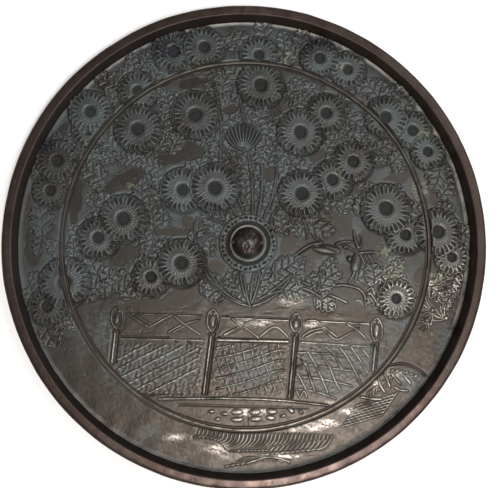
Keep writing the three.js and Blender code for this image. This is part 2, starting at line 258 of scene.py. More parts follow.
def make_patina_group():
    """Aged bronze: brown metal, a grey-green film that gathers on worked ground, black dirt and
    painted shade in the hollows, and worn metal with a painted sheen on the crests. The marks are
    masks from 0 to 1; soot and salts are blue-black stains and pale blooms of corrosion."""
    colour, number = "NodeSocketColor", "NodeSocketFloat"
    group, source, target = new_group(
        "aged_bronze",
        [(label, colour, (0, 0, 0, 1)) for label in PAINTS]
        + [(label, number, 0.0) for label in (*MARKS, "Rub_and_sheen")],
        [("Color", colour), ("Roughness", number), ("Metallic", number)],
    )
    given = source.outputs
    times, plus = partial(arithmetic, group, "MULTIPLY"), partial(arithmetic, group, "ADD")
    minus, scaled = partial(arithmetic, group, "SUBTRACT"), partial(arithmetic, group, "MULTIPLY_ADD")
    between, laid = partial(spread, group), partial(tint, group)
    place = group.nodes.new("ShaderNodeTexCoord").outputs["Object"]
    patches = noise(group, place, 26, 5, 0.6)
    mottle = noise(group, place, 120, 5, 0.62)
    speckle = noise(group, place, 480, 4, 0.65)
    uneven = scaled(between(mottle, 0.32, 0.68), 0.45, 0.1)
    cover = times(given["Film"], scaled(between(patches, 0.35, 0.65), 0.45, uneven))
    grime = times(between(speckle, 0.45, 0.75), 0.45)
    # Worn metal with a painted sheen on the crests.
    rub_and_sheen_share = times(times(given["Wear_and_sheen"], given["Rub_and_sheen"]), between(mottle, 0.28, 0.6))
    # Dark dirt and painted shade in the hollows.
    dirt_and_shade_share = times(given["Dirt_and_shade"], 0.9)
    sooty = times(given["Soot"], between(mottle, 0.3, 0.55))
    salty = times(given["Salts"], between(speckle, 0.4, 0.65))
    finish = laid(grime, given["Metal"], given["Dirt_and_shade_colour"])
    for share, paint in (
        (cover, given["Film colour"]), (rub_and_sheen_share, given["Rubbed_and_sheen_colour"]), (dirt_and_shade_share, given["Dirt_and_shade_colour"]),
        (sooty, hue("14151f")), (salty, hue("7f8069")),
    ):
        finish = laid(share, finish, paint)
    group.links.new(finish, target.inputs["Color"])
    rough = plus(scaled(speckle, 0.24, 0.26), times(cover, 0.16))
    rough = minus(plus(rough, times(salty, 0.3)), times(rub_and_sheen_share, 0.1))
    group.links.new(plus(rough, times(dirt_and_shade_share, 0.4)), target.inputs["Roughness"])
    metallic = minus(scaled(cover, -0.4, 0.72), times(dirt_and_shade_share, 0.5))
    group.links.new(minus(metallic, salty), target.inputs["Metallic"])
    return group


def make_skin_group():
    """The sandy skin of a casting: fine grain and scattered pits, as a bumped normal."""
    group, source, target = new_group(
        "casting_skin",
        [("Grain", "NodeSocketFloat", 0.3), ("Pits", "NodeSocketFloat", 0.3)],
        [("Normal", "NodeSocketVector")],
    )
    place = group.nodes.new("ShaderNodeTexCoord").outputs["Object"]
    grain = noise(group, place, 900, 5, 0.7)
    pits = spread(group, noise(group, place, 330, 3, 0.5), 0.62, 0.72)
    height = arithmetic(group, "MULTIPLY", grain, source.outputs["Grain"])
    sunk = arithmetic(group, "MULTIPLY", pits, source.outputs["Pits"])
    height = arithmetic(group, "SUBTRACT", arithmetic(group, "ADD", height, 0.4), sunk)
    bump = group.nodes.new("ShaderNodeBump")
    bump.inputs["Strength"].default_value = 0.6
    bump.inputs["Distance"].default_value = 0.0004
    group.links.new(height, bump.inputs["Height"])
    group.links.new(bump.outputs["Normal"], target.inputs["Normal"])
    return group


aged_bronze = make_patina_group()
casting_skin = make_skin_group()


def bronze(name, paints, rub_and_sheen_share, grain, pits):
    """A material of aged bronze that reads the marks of its piece. Its paints are the metal, its
    film, the dirt with painted shade, and worn metal with a painted sheen, as hex codes."""
    material = bpy.data.materials.new(name)
    material.use_nodes = True
    tree = material.node_tree
    shader = tree.nodes["Principled BSDF"]
    shader.inputs["IOR"].default_value = 1.5
    age = tree.nodes.new("ShaderNodeGroup")
    age.node_tree = aged_bronze
    for socket, code in zip(PAINTS, paints):
        age.inputs[socket].default_value = hue(code)
    age.inputs["Rub_and_sheen"].default_value = rub_and_sheen_share
    for socket in MARKS:
        reader = tree.nodes.new("ShaderNodeAttribute")
        reader.attribute_name = socket.lower()
        tree.links.new(reader.outputs["Fac"], age.inputs[socket])
    skin = tree.nodes.new("ShaderNodeGroup")
    skin.node_tree = casting_skin
    skin.inputs["Grain"].default_value = grain
    skin.inputs["Pits"].default_value = pits
    tree.links.new(age.outputs["Color"], shader.inputs["Base Color"])
    for node, socket in ((age, "Roughness"), (age, "Metallic"), (skin, "Normal")):
        tree.links.new(node.outputs[socket], shader.inputs[socket])
    return material


def rim_wear(points):
    """Marks of the rim. Its top is worn and carries a painted highlight, most of all at the foot of
    the mirror and a little at its head. Its inner wall carries painted shade on the left and a
    painted highlight on the right."""
    x, y, z = points.T
    bearing = bearing_of(x, y)
    on_wall = blend_step(wall_foot + 1.15 - np.hypot(x, y), 0, 0.5) * blend_step(z, 2.8, 7.5)
    # Worn metal and a painted highlight along the top, strongest at the foot.
    handled_and_lit = bell(bearing, -78, 30) + 0.55 * bell(bearing, 88, 16)
    handled_and_lit = np.clip(handled_and_lit + 0.12, 0, 1) * (0.85 + 0.3 * undulation(x, y, 9, 8))
    on_top = blend_step(z, rim_height - 1.2, rim_height - 0.3) * (1 - on_wall)
    # 1 on the right: a painted highlight on the inner wall there, painted shade on the far side.
    lit_side = on_side(x, y, -10)
    return {
        "dirt_and_shade": on_wall * (1 - lit_side),
        "wear_and_sheen": np.maximum(on_top * handled_and_lit, 0.9 * on_wall * lit_side),
        "film": 0.35 + 0.3 * undulation(x, y, 30, 7),
    }


# Paints: metal, film, dirt and painted shade, worn metal and painted sheen.
rim_bronze = bronze("rim_bronze", ("33251f", "302925", "1c1613", "5a4a43"), 0.75, 0.25, 0.25)
face_bronze = bronze("face_bronze", ("6b5a48", "5a5a48", "2a211a", "9a8a74"), 0.4, 0.12, 0.35)
rim_points, rim_faces = turned(rim_profile(), rim_sides, worn_rim)
plate_and_rim = cast_piece(
    "plate_and_rim", rim_points, rim_faces, rim_wear(rim_points), rim_bronze
)
plate_and_rim.data.materials.append(face_bronze)
face_centres = np.zeros((len(rim_faces), 3), np.float32)
plate_and_rim.data.polygons.foreach_get("center", face_centres.ravel())
filed_face = (face_centres[:, 2] < 0.3 * MM).astype(np.int32)
plate_and_rim.data.polygons.foreach_set("material_index", filed_face)

# ---- The ring line -------------------------------------------------------------------------
# A narrow raised line that parts the border from the garden, run round with a template in the
# mould, so it lies between two fine grooves and crosses over the blossoms unbroken.

ring_radius = 92.8
ring_sides = 900


def ring_points():
    """The line's cross-section carried round the axis; its places across are measured from
    ring_radius, and it is the same on both sides."""
    half = [(0.34, 3.38), (0.6, 3.15), (0.74, 2.7), (0.95, 2.35), (1.3, 2.42), (1.6, 2.7)]
    inner = [(-place, level) for place, level in half[::-1]]
    across, height = np.array(inner + [(0, 3.44)] + half + [(1.6, 2.2), (-1.6, 2.2)]).T
    turn = np.arange(ring_sides) * 2 * np.pi / ring_sides
    x, y = ring_radius * np.cos(turn), ring_radius * np.sin(turn)
    sway = 0.16 * undulation(x, y, 60, 21) + 0.05 * undulation(x, y, 9, 22)
    r = ring_radius + across[:, None] + sway[None, :]
    worn = blend_step(height, 2.9, 3.4)[:, None]
    z = height[:, None] + worn * (0.1 * undulation(x, y, 12, 23) + 0.05 * undulation(x, y, 3.5, 24))
    return np.stack([r * np.cos(turn), r * np.sin(turn), z], -1)


def ring_wear(points):
    """Marks of the line: dark dirt and painted shade in the grooves, worn metal and a painted
    highlight along its top at the foot of the mirror and less at its head, and painted shade over
    the left side."""
    x, y, z = points.T
    bearing = bearing_of(x, y)
    # Worn metal and a painted highlight along the top, at the foot and a little at the head.
    rubbed_and_lit = bell(bearing, -88, 34) + 0.35 * bell(bearing, 105, 16)
    return {
        "dirt_and_shade": np.maximum(1 - blend_step(z, 2.65, 3.05), 0.45 * (1 - on_side(x, y, -15))),
        "wear_and_sheen": blend_step(z, 3.2, 3.4) * np.clip(0.1 + rubbed_and_lit, 0, 1),
        "film": np.full(len(points), 0.7),
    }


# Paints: metal, film, dirt and painted shade, worn metal and painted sheen.
ring_bronze = bronze("ring_bronze", ("332e27", "40443d", "0a0908", "aaa294"), 0.9, 0.25, 0.2)
ring_grid = ring_points()
ring_quads = ring_faces(len(ring_grid), ring_sides, closed=True)[:, ::-1].tolist()
ring_grid = ring_grid.reshape(-1, 3)
cast_piece("ring_line", ring_grid, ring_quads, ring_wear(ring_grid), ring_bronze)

# ---- The knob on its seat ------------------------------------------------------------------
# The boss in the middle, pierced along X for the cord that the mirror was held by. It stands in
# a collar and a deep groove, in a flat band with a ring of small round pits struck in the mould.

knob_radius = 7.9
knob_top = ground_height + 7.6
seat_radius = 14.8
cord_hole_radius = 1.8
cord_hole_height = ground_height + 1.5 + cord_hole_radius
cord_hole_sides, cord_hole_reach = 40, 9.75  # the bore's facets, and half its length
seat_pits, pit_circle = 32, 12.9  # how many, and the radius that they stand on
knob_sides = 288


def knob_profile():
    """From under the seat outwards, over the pitted band, down the groove, up the collar and
    over the dome, closed on the axis."""
    g = ground_height
    under = [(0, g - 0.8), (seat_radius, g - 0.8)]
    band_edge = [(seat_radius, g), (14.6, g + 0.4), (14.3, g + 0.68)]
    band = [(r, g + 0.75) for r in np.linspace(14.1, 11.5, 17)]
    groove = [(11.3, g + 0.6), (11.05, g + 0.2), (10.7, g), (10.3, g - 0.05), (9.9, g + 0.15)]
    collar = [(9.65, g + 0.7), (9.4, g + 1.2), (9.0, g + 1.45), (8.5, g + 1.4), (8.1, g + 1.15)]
    rise = np.radians(np.linspace(3, 88, 26))
    low = g + 1.05
    dome = [(knob_radius * math.cos(t), low + (knob_top - low) * math.sin(t) ** 0.9) for t in rise]
    return under + band_edge + band + groove + collar + dome + [(0, knob_top)]


def worn_knob(r, z, turn):
    """Pits along the band, and a dome dented and roughened by corrosion."""
    x, y = r * np.cos(turn), r * np.sin(turn)
    along = (turn * seat_pits / (2 * np.pi) + 0.22 * undulation(x, y, 6, 35)) % 1 - 0.5
    off_circle = r - pit_circle - 0.4 * undulation(x, y, 8, 36)
    away = np.hypot(along * 2 * np.pi * pit_circle / seat_pits, off_circle)
    on_band = blend_step(z, ground_height + 0.5, ground_height + 0.7) * blend_step(r, 11.2, 11.6)
    z = z + 0.09 * undulation(x, y, 2.4, 37) * on_band
    pits = 0.75 * (1 - blend_step(away, 0.25, 0.85)) * on_band
    on_dome = blend_step(z, ground_height + 1.3, ground_height + 2.2) * (r < knob_radius + 0.05)
    rough = 0.3 * undulation(x, y, 6.5, 31) + 0.16 * undulation(x, y, 2.8, 32)
    rough = rough + 0.05 * undulation(x, y, 1.2, 33) - 0.25
    return r * (1 + 0.012 * undulation(x, y, 9, 34) * on_dome), z - pits + rough * on_dome


def drill_cord_hole(piece):
    """Cuts a round bore along X through the knob and keeps the result as the piece's mesh."""
    sides = cord_hole_sides
    j = np.arange(sides)
    k = (j + 1) % sides
    turn = j * 2 * np.pi / sides
    across, up = cord_hole_radius * np.cos(turn), cord_hole_radius * np.sin(turn) + cord_hole_height
    ends = [np.full(sides, place) for place in (-cord_hole_reach, cord_hole_reach)]
    points = np.vstack([np.stack([end, across, up], -1) for end in ends])
    faces = np.stack([k, k + sides, j + sides, j], -1).tolist()
    faces += [j[::-1].tolist(), (j + sides).tolist()]
    mesh = bpy.data.meshes.new("cord_drill")
    mesh.from_pydata((points * MM).tolist(), [], faces)
    drill = bpy.data.objects.new("cord_drill", mesh)
    bpy.context.scene.collection.objects.link(drill)
    cut = piece.modifiers.new("cord_hole", "BOOLEAN")
    cut.operation = "DIFFERENCE"
    cut.object = drill
    seen = piece.evaluated_get(bpy.context.evaluated_depsgraph_get())
    bored = bpy.data.meshes.new_from_object(seen)
    piece.modifiers.clear()
    piece.data = bored
    bpy.data.objects.remove(drill)


def knob_wear(points):
    """Marks of the knob and its seat: dark dirt and painted shade in the groove and the pits,
    painted shade at the dome's foot, worn bright on the collar, and a cloudy film over the dome."""
    x, y, z = points.T
    r = np.hypot(x, y)
    in_groove = blend_step(r, 9.5, 9.9) * (1 - blend_step(r, 10.9, 11.4))
    in_pit = (r > 11.6) * (r < 14.2) * blend_step(ground_height + 0.6 - z, 0.1, 0.5)
    # Painted shade round the foot of the dome.
    dome_foot_shade = 0.5 * blend_step(r, 6.4, 7.7) * (1 - blend_step(r, 7.9, 8.3))
    cloudy = np.clip(0.35 + 0.4 * undulation(x, y, 7, 38), 0, 1)
    return {
        "dirt_and_shade": np.clip(in_groove + in_pit + dome_foot_shade, 0, 1),
        "wear_and_sheen": 0.5 * bell(r, 8.8, 0.55),
        "film": np.maximum(blend_step(r, 8.0, 8.6), cloudy),
    }


# Paints: metal, film, dirt and painted shade, worn metal and painted sheen.
knob_bronze = bronze("knob_bronze", ("332927", "4a5351", "0c0a09", "8d8885"), 0.75, 0.22, 0.3)
knob_points, knob_faces = turned(knob_profile(), knob_sides, worn_knob)
knob_and_seat = cast_piece("knob_and_seat", knob_points, knob_faces, {}, knob_bronze)
drill_cord_hole(knob_and_seat)
bored_points = np.zeros((len(knob_and_seat.data.vertices), 3), np.float32)
knob_and_seat.data.vertices.foreach_get("co", bored_points.ravel())
write_marks(knob_and_seat.data, knob_wear(bored_points / MM))

# ---- The relief of the garden and its border -----------------------------------------------
# Chrysanthemums, leaves, a fence, birds and a stream, pressed and incised in the clay mould and
# cast with the plate. It is one skin of metal, kept here as tiles that meet edge to edge.


def distance_to(x, y, path):
    """Distance from each point to the nearest segment of a path, and how far along it, 0 to 1."""
    nearest = np.full(x.shape, 1e9)
    along = np.zeros(x.shape)
    count = len(path) - 1
    for i in range(count):
        (ax, ay), (bx, by) = path[i], path[i + 1]
        ex, ey = bx - ax, by - ay
        t = np.clip(((x - ax) * ex + (y - ay) * ey) / (ex * ex + ey * ey), 0, 1)
        d = np.hypot(x - ax - t * ex, y - ay - t * ey)
        closer = d < nearest
        nearest = np.where(closer, d, nearest)
        along = np.where(closer, (i + t) / count, along)
    return nearest, along


def window(x, y, path, margin):
    """Indices of the points within margin of the box round a path."""
    px, py = np.array(path, float).T
    inside = (x > px.min() - margin) & (x < px.max() + margin)
    inside &= (y > py.min() - margin) & (y < py.max() + margin)
    return np.flatnonzero(inside)


def window_round(x, y, cx, cy, half, margin):
    """The window of a square that stands half to each side of (cx, cy)."""
    return window(x, y, [(cx - half, cy - half), (cx + half, cy + half)], margin)


def turned_axes(x, y, cx, cy, bearing):
    """How far places lie from (cx, cy) along a bearing in degrees, and how far to its left."""
    turn = math.radians(bearing)
    dx, dy = x - cx, y - cy
    return dx * math.cos(turn) + dy * math.sin(turn), -dx * math.sin(turn) + dy * math.cos(turn)


def ridge(x, y, h, path, width, height, groove=0.0, taper=1.0):
    """A raised line with a low round back: height times 1 - (d / half)^2, between two grooves of
    the given depth. Its width shrinks along it to taper times."""
    near = window(x, y, path, width + 1)
    d, along = distance_to(x[near], y[near], path)
    half = width / 2 * (1 + (taper - 1) * along)
    back = height * np.clip(1 - (d / half) ** 2, 0, 1)
    beside = groove * bell(d, half + 0.25, 0.4)
    h[near] = np.maximum(h[near] - beside, back * (0.5 + 0.5 * half / (width / 2)))


def incision(x, y, h, path, width, depth):
    """A line cut into what is there, as deep as a bell curve of the distance from the path."""
    near = window(x, y, path, width * 2)
    d, _ = distance_to(x[near], y[near], path)
    h[near] -= depth * bell(d, 0, width / 2)


def bow(start, end, lift, steps=7):
    """Points of a gentle arc from start to end that stands off the chord by lift."""
    t = np.linspace(0, 1, steps)
    (ax, ay), (bx, by) = start, end
    run = math.hypot(bx - ax, by - ay)
    side = 4 * t * (1 - t) * lift / run
    return list(zip(ax + (bx - ax) * t - (by - ay) * side, ay + (by - ay) * t + (bx - ax) * side))


def smooth_path(points, steps=6):
    """A Catmull-Rom curve through the points, so that a stem or twig bends evenly."""
    p = np.array([points[0], *points, points[-1]], float)
    t = np.linspace(0, 1, steps, endpoint=False)[:, None]
    parts = []
    for i in range(1, len(p) - 2):
        a, b, c, d = p[i - 1 : i + 3]
        curve = 2 * b + (c - a) * t + (2 * a - 5 * b + 4 * c - d) * t**2
        parts.append((curve + (3 * b - a - 3 * c + d) * t**3) / 2)
    return [tuple(q) for q in np.vstack([*parts, p[-1:]])]


def boss(x, y, h, cx, cy, long, short, bearing, height):
    """A rounded lump, half an ellipsoid, with its long half-axis along the bearing."""
    near = window_round(x, y, cx, cy, max(long, short), 0.5)
    u, v = turned_axes(x[near], y[near], cx, cy, bearing)
    dome = np.sqrt(np.clip(1 - (u / long) ** 2 - (v / short) ** 2, 0, 1))
    h[near] = np.maximum(h[near], height * dome)


def leaf(x, y, h, bare, cx, cy, bearing, length, seed):
    """A chrysanthemum leaf, with u from 0 at its stalk to 1 at its tip and v across it. Its half
    width is the root of sin(pi u^0.85), scalloped into lobes that lean forward. A midrib and a
    vein for each lobe are cut into it, and its edge is a little raised."""
    draw = np.random.default_rng(seed)
    near = window_round(x, y, cx, cy, length / 2, 1)
    u, v = turned_axes(x[near], y[near], cx, cy, bearing)
    u = u / length + 0.5
    v = v + draw.uniform(-0.5, 0.5) * length * (u - 0.5) ** 2
    lobes = draw.uniform(3.2, 4.2)
    phase = (u - 0.6 * np.abs(v) / length) * lobes + draw.uniform(0, 1) + 0.12 * np.sign(v)
    beat = np.abs(np.cos(np.pi * phase))
    stout = np.sqrt(np.sin(np.pi * np.clip(u, 0, 1) ** 0.85))
    wide = length * draw.uniform(0.32, 0.4) * stout * (0.62 + 0.38 * beat**0.8)
    inward = np.where((u > 0) & (u < 1), wide - np.abs(v), -9)
    cover = blend_step(inward, -0.15, 0.2)
    vein = blend_step(beat, 0.86, 1.0) * blend_step(inward, 0.3, 0.8)
    midrib = bell(v, 0, 0.32) * blend_step(inward, 0.2, 0.7)
    tops = 0.5 + 0.22 * bell(inward, 0.45, 0.35) - 0.4 * np.maximum(vein, midrib)
    tops = tops + draw.uniform(-0.1, 0.1)
    h[near] = (h[near] - 0.15 * bell(inward, -0.4, 0.3)) * (1 - cover) + tops * cover
    bare[near] *= 1 - cover


def clearing(x, y, h, bare, cx, cy, long, short, bearing):
    """An oval of plain ground left between the leaves, where bare is 1."""
    near = window_round(x, y, cx, cy, long, 1)
    u, v = turned_axes(x[near], y[near], cx, cy, bearing)
    spot = np.hypot(u / long, v / short) + 0.16 * undulation(x[near], y[near], 8, 51)
    plain = 1 - blend_step(spot, 0.9, 1.06)
    h[near] = h[near] * (1 - plain)
    bare[near] = np.maximum(bare[near], plain)


def blossom(x, y, h, shade, bare, cx, cy, radius, layer, seed):
    """A chrysanthemum seen from above. Thin walls run out from a smooth collar round a deep round
    heart, and the petals between them are sunk, widest and deepest towards their round tips.
    Heights run with the distance from the heart over the radius."""
    draw = np.random.default_rng(seed)
    near = window_round(x, y, cx, cy, radius, 1.5)
    dx, dy = x[near] - cx, y[near] - cy
    petals = int(round(2 * math.pi * radius * 0.78 / 2.3))
    turn = np.arctan2(dy, dx) / (2 * np.pi) * petals + draw.uniform(0, 1)
    number = np.floor(turn).astype(int) % petals
    length = 1 + draw.uniform(-0.04, 0.03, petals)
    start = draw.uniform(-0.06, 0.06, petals)
    lean = draw.uniform(-0.4, 0.4, petals)
    depth = draw.uniform(0.5, 1.15, petals)
    rho = np.hypot(dx, dy)
    pitch = 2 * np.pi * rho / petals
    side = np.abs((turn - np.floor(turn) - 0.5) * pitch + 0.25 * lean[number])
    half = np.pi * radius / petals
    tip = radius * length[number] - (half - np.sqrt(np.clip(half**2 - side**2, 0.02, None)))
    t = rho / radius
    body = np.interp(
        t,
        [0, 0.09, 0.15, 0.2, 0.235, 0.27, 0.32, 0.4, 0.5, 0.62, 0.8, 0.93, 1.05],
        [0.12, 0.1, 0.0, 0.0, 0.25, 0.95, 1.25, 1.35, 1.25, 1.2, 1.35, 1.1, 0.85],
    )
    width = np.clip(pitch / 2 - 0.34, 0.05, None) * blend_step(t + start[number], 0.5, 0.8)
    across = 1 - blend_step(side / np.maximum(width, 0.05), 0.6, 1.1)
    ends = blend_step(t + start[number], 0.58, 0.76) * blend_step(tip - rho, 0.3, 0.7)
    spoon = depth[number] * across * ends
    faint = 0.05 * np.cos(2 * np.pi * turn) * blend_step(t, 0.34, 0.4) * (1 - blend_step(t, 0.5, 0.6))
    seeds = 0.12 * undulation(dx, dy, 1.3, seed) * (1 - blend_step(t, 0.16, 0.22))
    level = body + 0.25 * layer - spoon - faint + seeds
    cover = blend_step(tip - rho, -0.25, 0.3)
    moat = 0.3 * bell(rho, radius + 0.5, 0.5) * (rho > radius * 0.9)
    h[near] = (h[near] - moat) * (1 - cover) + level * cover
    heart = 1 - blend_step(t, 0.2, 0.265)
    shade[near] = shade[near] * (1 - cover) + heart * cover
    bare[near] *= 1 - cover


# Blossoms are (x, y, radius, layer), clearings (x, y, half length, half width, bearing), and
# the larger leaves (x, y, bearing, length).
BLOSSOMS = [
    (-80, 57, 9, 0), (-79.5, 66, 11, 1), (-56, 77, 10, 1), (-38, 98, 11, 0), (-22.5, 100.3, 10.5, 1),
    (5.5, 96.7, 10, 0), (6.5, 81.2, 12, 1), (37, 95.5, 10, 1), (51.5, 90, 9.5, 0), (71, 65.3, 11, 1),
    (85, 58.5, 10, 0), (92.8, 47.5, 9, 1), (-95.5, 41, 10.5, 1), (-98.7, 26, 9, 0),
    (-91, -19.8, 12.5, 1), (-99, -31.5, 9.5, 0), (97.5, 6, 12, 1), (104.5, -7, 9, 0),
    (80.5, 4.4, 10, 0), (70.6, 17.8, 13, 1), (-55.8, 57.6, 12, 1), (-26.9, 65.2, 12.5, 1),
    (26.7, 57, 12, 1), (40.2, 67, 10.5, 0), (-16.8, 27.9, 12.5, 1), (-33, 26.8, 11.5, 0),
    (27.4, 25.4, 12, 1), (43.2, 32.5, 10.5, 0), (54, 42, 10.5, 0), (-62.5, 12.2, 12, 1),
    (-74.8, 2.5, 10.5, 0), (-33.6, -10, 12, 1), (-48.5, -17, 9.5, 0), (75.3, -28, 10, 1),
]
CLEARINGS = [
    (-61, 32, 13, 4.2, 28), (-42, 41.5, 10, 3, 12), (-29, 46.5, 7.5, 4.6, 12), (-39, 6, 10, 2.3, 5),
    (-30, 9.5, 6, 3.2, 68), (-62, -6.5, 9, 4.4, 32), (-16, -12, 5.2, 3.4, -12), (-31, -27, 13, 5, 14),
    (-50, -31, 12, 3.4, 0), (-86, 21, 11, 3.4, 84), (-106, 1, 13, 4.5, 88), (14, 69, 5, 2.6, 60),
    (11.5, 37, 6.5, 3.4, 70), (46, 9, 9.5, 7, 20), (64, 3, 7, 6.5, 10), (36, 45.5, 5.5, 3.4, 30),
    (53.5, 26.3, 4.5, 2.2, 10), (76, 33, 7, 3, 12), (20.7, -0.5, 5.4, 5.2, 60), (20, -29, 9.5, 3.6, 8),
    (31.5, -11, 6, 2.8, 80), (48.5, -14.5, 5, 4.6, 0), (53, -33, 10, 4.4, -5), (64, -10, 6.5, 3, -5),
    (-9, 68.5, 4.2, 2.4, 15), (-29, 81.5, 8, 2.6, 12), (-44, 82, 4.5, 3, 20), (88, -16, 5, 3, 70),
    (-92, 58.5, 4, 2, 40), (36, -1, 13, 7, 5), (58, -4, 9, 8, 0), (52, -24, 9, 5, 0),
    (36, 84.5, 6, 2.4, -25), (-70, -34, 5, 3.5, 80), (95, 27.5, 9, 2.2, 100),
]
LEAVES = [
    (-72, 82, 150, 15), (-62, 86, 40, 13), (-86, 51, 200, 14), (-103, 12, 100, 18),
    (-103, 0, 260, 14), (-45, 89, 60, 13), (-5, 105, 10, 15), (23, 99, 130, 12), (65, 79, 130, 16),
    (82, 71, 60, 13), (98, 33, 250, 15), (105, -19, 250, 14), (102, -29, 240, 11),
    (-98, -46, 300, 15), (-78, 35, 150, 16), (-49, 39, 160, 13), (-48, 13, 100, 14),
    (-78, -10, 110, 16), (-66, -20, 210, 16), (-48, 0, 260, 12), (-13, 80, 80, 14),
    (-41, 73, 100, 11), (-17, 53, 140, 14), (24, 81, 60, 13), (11, 44, 70, 13), (56, 62, 320, 15),
    (47, 54, 20, 10), (37, 7, 340, 16), (17, 9, 100, 12), (-13, 13, 150, 11), (-17, -24, 170, 16),
    (-6, -21, 120, 12), (20, -12, 30, 16), (22, -24, 350, 15), (41, -17, 40, 15), (39, -30, 330, 13),
    (64, -15, 100, 14),
]
RIBBED_BLOOM = (-2.5, 51.5, 9.5)
# Each post is its head, half the height of the bulb there, and its foot.
POSTS = [
    ((-65, -38), 3.0, (-67.2, -59)), ((-17.6, -39.5), 3.2, (-22, -75)),
    ((24.3, -40.8), 2.3, (20.6, -77)), ((65.2, -44.5), 3.6, (63, -64)),
]


def leafage():
    """Places of the small leaves that fill the ground: a jittered lattice without the places
    under a blossom, in a clearing, by the knob, at the fence or in the stream. Each points away
    from the root, more or less."""
    draw = np.random.default_rng(77)
    places = []
    for column in np.arange(-112, 113, 8.6):
        for row in np.arange(-48, 113, 7.6):
            cx = column + draw.uniform(-2.2, 2.2)
            cy = row + draw.uniform(-2.0, 2.0)
            bearing = math.degrees(math.atan2(cy + 35, cx)) + draw.uniform(-70, 70)
            length = draw.uniform(10, 14)
            r = math.hypot(cx, cy)
            free = 16 < r < 90.5 or 96 < r < 111
            free = free and (cy > -29 if r < 92 else cy > (-48 if cx < 0 else -27))
            for bx, by, radius, _ in BLOSSOMS:
                free = free and math.hypot(cx - bx, cy - by) > radius - 1.5
            for px, py, long, short, lean in CLEARINGS:
                u, v = turned_axes(cx, cy, px, py, lean)
                free = free and math.hypot(u / (long + 1), v / (short + 1)) > 1
            if free:
                places.append((cx, cy, bearing, length))
    return places


def plant(x, y, h, shade, bare):
    """Leaves, the clearings between them, the stems from the root under the knob, and the
    blossoms on top, those of layer 1 over those of layer 0."""
    for i, (cx, cy, bearing, length) in enumerate(leafage()):
        leaf(x, y, h, bare, cx, cy, bearing, length, 700 + i)
    for cx, cy, long, short, bearing in CLEARINGS:
        clearing(x, y, h, bare, cx, cy, long, short, bearing)
    for i, (cx, cy, bearing, length) in enumerate(LEAVES):
        leaf(x, y, h, bare, cx, cy, bearing, length * 0.95, 100 + i)
    root = (1, -32)
    for tip, lift, width in (
        ((-4, -15), 0.8, 1.5), ((3, -15), 0.3, 1.4), ((6, -15), -0.7, 1.3), ((-24, -3), 5, 1.4),
        ((-27, 10), 9, 1.2), ((22, -16), -3, 1.4), ((-22, -14), 3.5, 1.1), ((-2, -16), 0.5, 1.0),
    ):
        ridge(x, y, h, bow(root, tip, lift), width, 1.0, 0.4, 0.6)
    for start, end, lift, width in (
        ((-6, 14), (-14, 50), 3, 1.4), ((-2, 15), (-8, 44), 1.5, 1.1), ((2, 15), (0, 46), -1, 1.4),
        ((5, 14), (7, 40), -1, 1.6), ((8, 13), (14, 44), -2.5, 1.2), ((-11, 10), (-27, 19), 1.5, 1.2),
        ((-14, 50), (-19, 84), -2, 1.1), ((0, 60), (-4, 74), 1, 1.4), ((11, 10), (17, 20), 1, 1.1),
        ((-26, 84), (-33, 75), 0.6, 0.9), ((28, 12), (30, 2), 0.8, 1.0), ((-14, 24), (-12, 15), 0.5, 1.0),
        ((-20, 56), (-6, 38), 1.0, 1.0), ((-14, 2), (-26, 13), 1.2, 1.0),
    ):
        ridge(x, y, h, bow(start, end, lift), width, 0.9, 0.35, 0.7)
    cx, cy, size = RIBBED_BLOOM
    for lean in np.linspace(-66, 66, 11):
        turn = math.radians(90 + lean)
        tip = (cx + size * math.cos(turn), cy + size * math.sin(turn))
        ridge(x, y, h, bow((cx, cy - 4), tip, lean / 40), 1.2, 1.1, 0.45, 0.9)
    for i, (cx, cy, radius, layer) in enumerate(sorted(BLOSSOMS, key=lambda b: b[3])):
        blossom(x, y, h, shade, bare, cx, cy, radius, layer, 300 + i)


def post(x, y, h, head, half, foot):
    """A fence post: a bulb in an ogee loop, a pinched neck, and a round shaft between grooves."""
    cx, cy = head
    fx, fy = foot
    neck = (cx - 0.7, cy - half - 3)
    loop = [
        (cx - 0.8, cy - half - 1.6), (cx - 2.6, cy - half * 0.4), (cx - 2.4, cy + half + 0.4),
        (cx - 0.4, cy + half + 2.8), (cx + 0.7, cy + half + 2.6), (cx + 2.5, cy + half - 0.2),
        (cx + 2.7, cy - half * 0.6), (cx + 1.0, cy - half - 2),
    ]
    incision(x, y, h, [(cx, cy - half), (cx, cy + half + 1)], 4.6, 0.45)
    ridge(x, y, h, smooth_path(loop), 0.95, 0.6, 0.2)
    boss(x, y, h, cx - 0.1, cy, half * 0.95, 1.5, 88, 1.0)
    boss(x, y, h, cx - 0.9, cy + half + 1.1, 0.8, 0.6, 60, 0.6)
    boss(x, y, h, cx + 0.9, cy + half + 0.9, 0.8, 0.6, 120, 0.6)
    ridge(x, y, h, [neck, foot], 1.3, 0.75, 0.25)
    for side, deep in ((1.4, 0.4), (-1.4, 0.12)):
        incision(x, y, h, [(neck[0] + side, neck[1]), (fx + side, fy)], 1.1, deep)
    incision(x, y, h, [(neck[0] - 1, neck[1] + 0.2), (neck[0] + 1, neck[1] + 0.2)], 1.2, 0.7)


